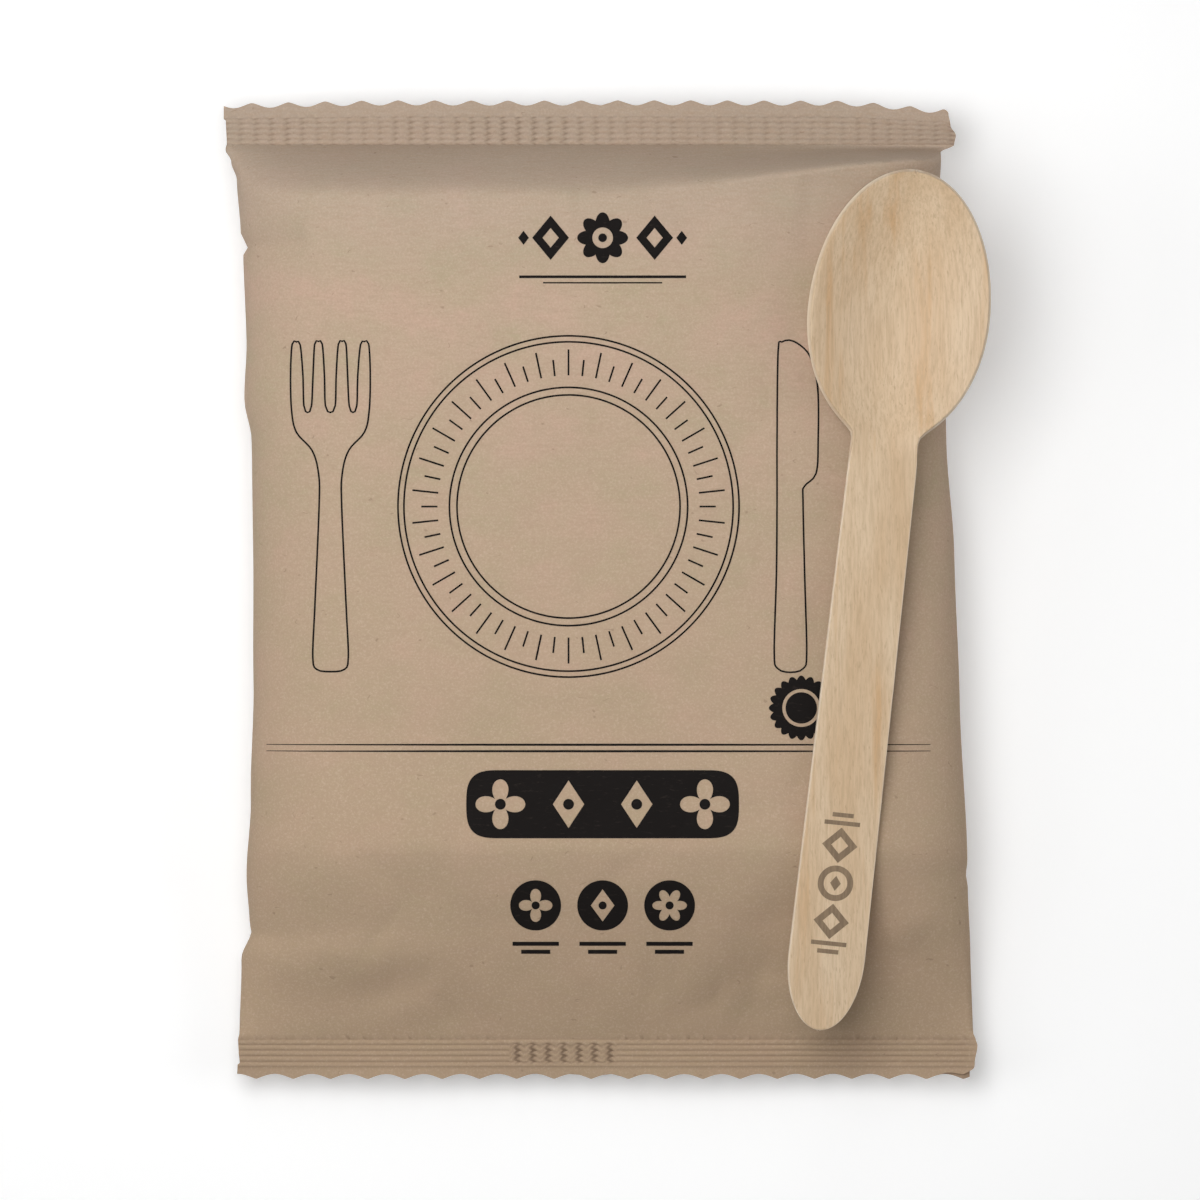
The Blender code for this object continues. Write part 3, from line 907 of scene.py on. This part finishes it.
# right half of the fork and the whole knife: across in mm, and up as a share of the length
forkHalf = (
    (0, -0.5), (2.6, -0.493), (3.3, -0.455), (2.9, -0.3), (2.1, 0), (2.2, 0.1), (3.4, 0.17), (6.3, 0.225),
    (7.2, 0.29), (7.4, 0.4), (7.1, 0.492), (6.3, 0.499), (5.6, 0.49), (5.1, 0.4), (4.9, 0.305), (4.2, 0.285),
    (3.5, 0.305), (3.2, 0.4), (2.9, 0.492), (2.2, 0.5), (1.5, 0.492), (1.1, 0.4), (0.9, 0.305), (0, 0.285),
)
knifeOutline = (
    (-2.4, -0.49), (0, -0.502), (2.4, -0.49), (3, -0.44), (2.6, -0.2), (2.3, 0.02), (2.5, 0.06), (4.7, 0.1),
    (5.1, 0.2), (5, 0.36), (3.6, 0.455), (0.6, 0.5), (-1.6, 0.498), (-2.3, 0.47), (-2.5, 0.2), (-2.5, 0.02),
    (-2.6, -0.2), (-3, -0.44),
)


def ruleWidth(share):
    # thickest in the middle of the rule
    return film["line"] * (0.35 + 0.9 * math.sin(math.pi * share))


def makeSetting():
    bm = bmesh.new()
    for radius in setting["circles"]:
        lineShape(bm, circlePath(setting["plate"], radius), closed=True)
    for step in range(setting["rays"]):
        turn = 2 * math.pi * step / setting["rays"]
        away = Vector((math.cos(turn), math.sin(turn)))
        centre = Vector(setting["plate"])
        reach = setting["rayEnds"][step % 2]
        lineShape(bm, straight(centre + away * setting["rayStart"], centre + away * reach))
    fork = list(forkHalf) + [(-x, y) for x, y in reversed(forkHalf[1:-1])]
    for outline, middle in ((fork, setting["forkX"]), (knifeOutline, setting["knifeX"])):
        corners = [(middle + x * mm, setting["middleY"] + y * setting["tall"]) for x, y in outline]
        lineShape(bm, smoothPath(corners), closed=True)
    first, last = setting["ruleX"]
    for y in setting["rules"]:
        lineShape(bm, straight((first, y), (last, y)), ruleWidth)
    return drapeFilm("placeSettingPrint", bm)


band = {
    "centre": (0.3 * mm, -39.6 * mm),
    "cell": 12.6 * mm,
    "endPower": 3.2,
    "flower": 4.6 * mm,
    "lozenge": (2.9 * mm, 4.4 * mm),
    "dot": 1.0 * mm,
}


def bandEnd(angle):
    # half a cell that ends in a round
    across, up = math.cos(angle), math.sin(angle)
    half = band["cell"] / 2
    if across < 0:
        return rectangle(half, half)(angle)
    return half / (across ** band["endPower"] + abs(up) ** band["endPower"]) ** (1 / band["endPower"])


def makeBand():
    bm = bmesh.new()
    flower, lozenge = petals(band["flower"], 4, 0.3), diamond(*band["lozenge"])
    holes = (flower, lozenge, lozenge, flower)
    last = len(holes) - 1
    for cell, hole in enumerate(holes):
        x = band["centre"][0] + (cell - last / 2) * band["cell"]
        outer = rectangle(band["cell"] / 2, band["cell"] / 2)
        if cell == last:
            outer = bandEnd
        elif cell == 0:
            outer = lambda angle: bandEnd(math.pi - angle)
        polarShape(bm, (x, band["centre"][1]), hole, outer, 96, 6)
        polarShape(bm, (x, band["centre"][1]), disc(0), disc(band["dot"]), 36, 2)
    bmesh.ops.remove_doubles(bm, verts=bm.verts[:], dist=0.01 * mm)
    return drapeFilm("bandPrint", bm)


badges = {
    "x": 0.3 * mm,
    "y": -58.4 * mm,
    "pitch": 12.4 * mm,
    "radius": 4.7 * mm,
    "flower": 3.1 * mm,
    "lozenge": (2.2 * mm, 3.0 * mm),
    "star": 3.2 * mm,
    "dot": 0.75 * mm,
    "bars": ((7.2 * mm, 8.6 * mm), (8.7 * mm, 5.4 * mm)),  # drop and length
    "barHeight": 0.75 * mm,
}


def makeBadges():
    bm = bmesh.new()
    holes = (petals(badges["flower"], 4, 0.3), diamond(*badges["lozenge"]), petals(badges["star"], 6, 0.5))
    for place, hole in zip((-1, 0, 1), holes):
        x = badges["x"] + place * badges["pitch"]
        polarShape(bm, (x, badges["y"]), hole, disc(badges["radius"]), 96, 4)
        polarShape(bm, (x, badges["y"]), disc(0), disc(badges["dot"]), 30, 2)
        for drop, length in badges["bars"]:
            barShape(bm, x, badges["y"] - drop, length / 2, badges["barHeight"])
    return drapeFilm("badgePrint", bm)


burst = {
    "centre": (37.0 * mm, -21.8 * mm),
    "radius": 6.0 * mm,
    "hole": 3.5 * mm,
    "middle": 2.9 * mm,
    "points": 20,
    "depth": 0.13,
}


def makeBurst():
    bm = bmesh.new()
    outer = petals(burst["radius"], burst["points"], 1 - burst["depth"])
    polarShape(bm, burst["centre"], disc(burst["hole"]), outer, 160, 4)
    polarShape(bm, burst["centre"], disc(0), disc(burst["middle"]), 60, 3)
    return drapeFilm("burstPrint", bm)


for makePrint in (makeOrnament, makeSetting, makeBand, makeBadges, makeBurst):
    piece = makePrint()
    print("print made:", piece.name, len(piece.data.polygons), "faces")


# The loose spoon

spoon = {
    "length": 160 * mm,
    "veneer": 1.6 * mm,
    "bowlWidth": 34 * mm,
    "bowlLength": 50.5 * mm,
    "tipLength": 26.8 * mm,
    "bowlDepth": 6.2 * mm,
    "pressRunIn": 5 * mm,
    "pressFade": 1.5,
    "rimFlare": 0.4,
    "handleEndWidth": 14.4 * mm,
    "neckWidth": 12.6 * mm,
    "handleRound": 14 * mm,
    "neckBlend": 6,
    "bluntEnd": 0.5 * mm,
    "fromSide": 19.25 * mm,
    "middleY": -1.9 * mm,
    "turn": math.radians(-6.4),
    "roll": math.radians(6.0),
    "gap": 0.12 * mm,
    "probe": 2.0 * mm,
    "columns": 36,
    "rows": 240,
    "edgeRound": 0.14 * mm,
    "paleEdge": 0.1 * mm,
    "tries": 8,
}


def spoonHalfWidth(along):
    endRound = clamp(along / spoon["handleRound"])
    taper = clamp(along / (spoon["length"] - spoon["bowlLength"]))
    handle = (spoon["handleEndWidth"] + (spoon["neckWidth"] - spoon["handleEndWidth"]) * taper) / 2
    handle *= math.sqrt(1 - (1 - endRound) ** 2)
    widest = spoon["length"] - spoon["tipLength"]
    half = spoon["tipLength"] if along > widest else spoon["bowlLength"] - spoon["tipLength"]
    bowl = spoon["bowlWidth"] / 2 * math.sqrt(1 - clamp(abs(along - widest) / half) ** 2)
    if along > widest:
        handle = 0.0
    blend = spoon["neckBlend"]
    return max((handle ** blend + bowl ** blend) ** (1 / blend), spoon["bluntEnd"] / 2)


def pressDepth(along, across):
    widest = spoon["length"] - spoon["tipLength"]
    if along > widest:
        lengthwise = 1 - clamp((along - widest) / spoon["tipLength"]) ** 2
    else:
        run = spoon["bowlLength"] - spoon["tipLength"] + spoon["pressRunIn"]
        lengthwise = (1 - clamp((widest - along) / run) ** 2) ** spoon["pressFade"]
    bowed = 1 - across * across
    flared = (1 + math.cos(math.pi * across)) / 2
    return spoon["bowlDepth"] * lengthwise * (bowed + (flared - bowed) * spoon["rimFlare"])


def makeSpoon():
    bm = bmesh.new()
    bmesh.ops.create_grid(bm, x_segments=spoon["columns"], y_segments=spoon["rows"], size=1.0)
    for vertex in bm.verts:  # rows closer together at both ends
        along = spoon["length"] * (1 - math.cos(math.pi * (vertex.co.y + 1) / 2)) / 2
        across = vertex.co.x
        vertex.co = Vector((across * spoonHalfWidth(along), along, -pressDepth(along, across)))
    bm.normal_update()
    bmesh.ops.solidify(bm, geom=bm.faces[:] + bm.edges[:] + bm.verts[:], thickness=-spoon["veneer"])
    faceOutwards(bm)
    bm.normal_update()
    corners = [edge for edge in bm.edges if edge.is_manifold and edge.calc_face_angle() > math.radians(60)]
    rounding = spoon["edgeRound"]
    bmesh.ops.bevel(bm, geom=corners, offset=rounding, segments=2, profile=0.5, affect="EDGES", material=-1)
    cut = bm.verts.layers.float.new("cut")
    for vertex in bm.verts:  # the stamped edge is paler than the faces: partly the cut grain's own tone, partly a painted highlight
        beside = spoonHalfWidth(clamp(vertex.co.y / spoon["length"]) * spoon["length"]) - abs(vertex.co.x)
        end = min(vertex.co.y, spoon["length"] - vertex.co.y)
        vertex[cut] = clamp(1.6 - min(beside, end) / spoon["paleEdge"])
    return bm


def spoonPlace(pitch, height):
    return (
        Matrix.Translation((halfWidth - spoon["fromSide"], spoon["middleY"], height))
        @ Matrix.Rotation(spoon["turn"], 4, "Z")
        @ Matrix.Rotation(pitch, 4, "X")
        @ Matrix.Rotation(spoon["roll"], 4, "Y")
        @ Matrix.Translation((0, -spoon["length"] / 2, 0))
    )


def gapsUnder(tree, place):
    # smallest drops from spoon to paper, under the handle's half and under the bowl's
    back = place.inverted()
    down = Vector((0, 0, -1))
    smallest = [math.inf, math.inf]
    columns = math.ceil(spoon["bowlWidth"] / 2 / spoon["probe"])
    rows = math.ceil(spoon["length"] / spoon["probe"])
    for row in range(rows + 1):
        for column in range(-columns, columns + 1):
            probe = place @ Vector((column * spoon["probe"], row * spoon["probe"], 0))
            low = paperTree.ray_cast(Vector((probe.x, probe.y, 2 * halfLength)), down)[0]
            start = back @ Vector((probe.x, probe.y, -halfLength))
            high = tree.ray_cast(start, back.to_3x3() @ Vector((0, 0, 1)))[0]
            if low and high:
                half = 1 if 2 * row > rows else 0
                smallest[half] = min(smallest[half], (place @ high).z - low.z)
    return smallest


def settleSpoon(bm):
    # tips the spoon until handle and bowl both rest on the paper
    tree = BVHTree.FromBMesh(bm)
    pitch = 0.0
    for _ in range(spoon["tries"]):
        handle, bowl = gapsUnder(tree, spoonPlace(pitch, 0.0))
        pitch -= (bowl - handle) / spoon["length"]
    return spoonPlace(pitch, spoon["gap"] - min(gapsUnder(tree, spoonPlace(pitch, 0.0))))


birch = {
    "tone": (0.615, 0.440, 0.272),
    "paleTone": (0.705, 0.545, 0.372),
    "warmTone": (0.585, 0.365, 0.185),
    "fibreTone": (0.480, 0.335, 0.200),
    "poreTone": (0.360, 0.225, 0.120),
    "cutGrainAndHighlightTone": (0.880, 0.760, 0.600),
    "roughness": 0.5,
    "specular": 0.4,
    "relief": 0.00007,
    "noises": {
        "figure": ((1, 0.1, 1), 0, 230, 3, 0.5),
        "bands": ((1, 0.05, 0.4), 0, 260, 3, 0.6),
        "streaks": ((1, 0.06, 1), 0, 2300, 4, 0.65),
        "pores": ((1, 0.13, 1), 0, 3900, 2, 0.5),
        "flecks": ((1, 0.14, 1), 0.03, 2000, 1, 0.5),
    },
    "layers": (
        ("figure", 0.32, 0.68, 0, 1, "paleTone"),
        ("bands", 0.54, 0.66, 0, 0.8, "warmTone"),
        ("streaks", 0.34, 0.56, 0.55, 0, "fibreTone"),
        ("streaks", 0.55, 0.75, 0, 0.35, "paleTone"),
        ("pores", 0.6, 0.72, 0, 0.38, "poreTone"),
        ("flecks", 0.68, 0.76, 0, 0.22, "poreTone"),
        # paler cut edge: partly the grain's own tone, partly a painted highlight
        ("cut", 0, 1, 0, 0.9, "cutGrainAndHighlightTone"),
    ),
}


def birchMaterial():
    material, tree, surface = newMaterial("birchVeneer")
    patterns = patternsOf(tree, birch, -spoon["turn"])
    patterns["cut"] = attributeOf(tree, "cut")
    color = layered(tree, birch["tone"], patterns, birch)
    finishSurface(tree, surface, color, birch["roughness"], birch["specular"])
    relief = mathOf(tree, "SUBTRACT", patterns["streaks"], mathOf(tree, "MULTIPLY", patterns["pores"], 0.8))
    bumpOf(tree, surface, relief, 0.45, birch["relief"])
    return material


birchVeneer = birchMaterial()
spoonMesh = makeSpoon()
place = settleSpoon(spoonMesh)
spoonMesh.transform(place)
looseSpoon = addPiece("looseSpoon", spoonMesh, [birchVeneer], 35)
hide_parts("spoon")
pitch = round(math.degrees(place.to_euler().x), 2)
print("spoon made:", len(looseSpoon.data.polygons), "faces, pitch", pitch)

stamp = {
    "tone": (0.172, 0.115, 0.066),
    "fibreTone": birch["fibreTone"],
    "roughness": 0.6,
    "specular": 0.5,
    "noises": {"streaks": ((1, 0.06, 1), 0, 2400, 4, 0.6)},
    "layers": (("streaks", 0.4, 0.75, 0, 0.3, "fibreTone"),),
    "middle": 27.4 * mm,
    "half": 3.3 * mm,
    "hole": 2.2 * mm,
    "core": (1.0 * mm, 1.4 * mm),
    "lozengeAt": 7.1 * mm,
    "lozenge": (3.3 * mm, 3.3 * mm),
    "lozengeHole": (1.6 * mm, 1.6 * mm),
    "bars": ((11.2 * mm, 1.0), (12.7 * mm, 0.6)),  # distance from the middle, share of the width
    "barWidth": 0.8 * mm,
    "sunk": 0.02 * mm,
    "lift": 0.03 * mm,
}


def stampMaterial():
    material, tree, surface = newMaterial("brownStamp")
    patterns = patternsOf(tree, stamp, -spoon["turn"])
    color = layered(tree, stamp["tone"], patterns, stamp)
    finishSurface(tree, surface, color, stamp["roughness"], stamp["specular"])
    bumpOf(tree, surface, patterns["streaks"], 0.3, 0.00006)
    return material


def makeStamp():
    # a ring, lozenges and bars, printed on the handle
    bm = bmesh.new()
    middle, half = stamp["middle"], stamp["half"]
    polarShape(bm, (0, middle), disc(stamp["hole"]), disc(half), 48, 3)
    polarShape(bm, (0, middle), disc(0), diamond(*stamp["core"]), 24, 2)
    for side in (-1, 1):
        centre = (0, middle + side * stamp["lozengeAt"])
        polarShape(bm, centre, diamond(*stamp["lozengeHole"]), diamond(*stamp["lozenge"]), 48, 3)
        for offset, reach in stamp["bars"]:
            barShape(bm, 0, middle + side * offset, half * reach, stamp["barWidth"])
    for vertex in bm.verts:
        vertex.co.z = spoon["veneer"] - stamp["sunk"]
    for vertex in secondLayer(bm):
        vertex.co.z += stamp["sunk"] + stamp["lift"]
    faceOutwards(bm)
    bm.transform(place)
    return addPiece("handleStamp", bm, [stampMaterial()])


makeStamp()
print("handle stamp made")


# The stage, the light and the camera

stage = {
    "floorSize": 3.0,
    "floorTone": (0.80, 0.80, 0.80),
    "cloudTone": (0.816, 0.816, 0.816),
    "roughness": 0.9,
    "drop": 0.05 * mm,
    "glow": 0.325,
    "worldLight": 0.14,
}


def makeStage():
    material, tree, surface = newMaterial("paleFloor")
    clouds = ramp(tree, noiseOf(tree, stretched(tree, (1, 1, 1)), 6, 2), 0.3, 0.7)
    color = mixColor(tree, clouds, stage["floorTone"], stage["cloudTone"])
    finishSurface(tree, surface, color, stage["roughness"], 0.0)
    # what the camera and reflections see of the floor is brighter, and keeps the shadows
    glow = addNode(tree, "ShaderNodeEmission")
    tree.links.new(mathOf(tree, "MULTIPLY", seenRays(tree), stage["glow"]), glow.inputs["Strength"])
    total = addNode(tree, "ShaderNodeAddShader")
    tree.links.new(surface.outputs["BSDF"], total.inputs[0])
    tree.links.new(glow.outputs["Emission"], total.inputs[1])
    tree.links.new(total.outputs["Shader"], tree.nodes["Material Output"].inputs["Surface"])
    bm = bmesh.new()
    bmesh.ops.create_grid(bm, x_segments=2, y_segments=2, size=stage["floorSize"] / 2)
    mesh = bpy.data.meshes.new("floor")
    bm.to_mesh(mesh)
    mesh.materials.append(material)
    floor = addObject("floor", mesh)
    floor.location.z = -stage["drop"]


def makeWorld():
    world = bpy.data.worlds.new("studio")
    bpy.context.scene.world = world
    world.use_nodes = True
    tree = world.node_tree
    background = tree.nodes["Background"]
    strength = ramp(tree, seenRays(tree), 0, 1, stage["worldLight"], 1.0)
    background.inputs["Color"].default_value = (1, 1, 1, 1)
    tree.links.new(strength, background.inputs["Strength"])


lamps = {
    "key": {"place": (-0.09, 0.07, 0.45), "size": 0.3, "power": 1.40},
    "back": {"place": (-0.1, 0.94, 0.74), "size": 0.5, "power": 0.8},
    "right": {"place": (1.02, 0.0, 0.64), "size": 0.6, "power": 2.6},
    "left": {"place": (-1.02, 0.0, 0.64), "size": 0.6, "power": 2.5},
}


def addLamp(name, settings):
    light = bpy.data.lights.new(name, "AREA")
    light.energy = settings["power"]
    light.size = settings["size"]
    lamp = addObject(name, light)
    lamp.location = settings["place"]
    lamp.visible_camera = False
    lamp.rotation_euler = (-Vector(settings["place"])).to_track_quat("-Z", "Y").to_euler()


view = {
    "photoSide": 1200,  # pixels of the photograph
    "pixel": 0.186 * mm,
    "origin": (601, 590),  # pixel of the photograph over the frame's origin
    "height": 9 * mm,  # at this height a pixel has its size
    "distance": 2.4,
    "sensor": 36,
}


def addCamera():
    middle = view["photoSide"] / 2
    x = (middle - view["origin"][0]) * view["pixel"]
    y = (view["origin"][1] - middle) * view["pixel"]
    camera = bpy.data.cameras.new("photoCamera")
    camera.sensor_width = view["sensor"]
    camera.lens = view["sensor"] * view["distance"] / (view["photoSide"] * view["pixel"])
    camera.clip_end = 20
    holder = addObject("photoCamera", camera)
    holder.location = (x, y, view["height"] + view["distance"])
    bpy.context.scene.camera = holder


makeStage()
makeWorld()
for lampName, lampSettings in lamps.items():
    addLamp(lampName, lampSettings)
addCamera()
bpy.context.scene.view_settings.view_transform = "Standard"
print("stage, lamps and camera placed")
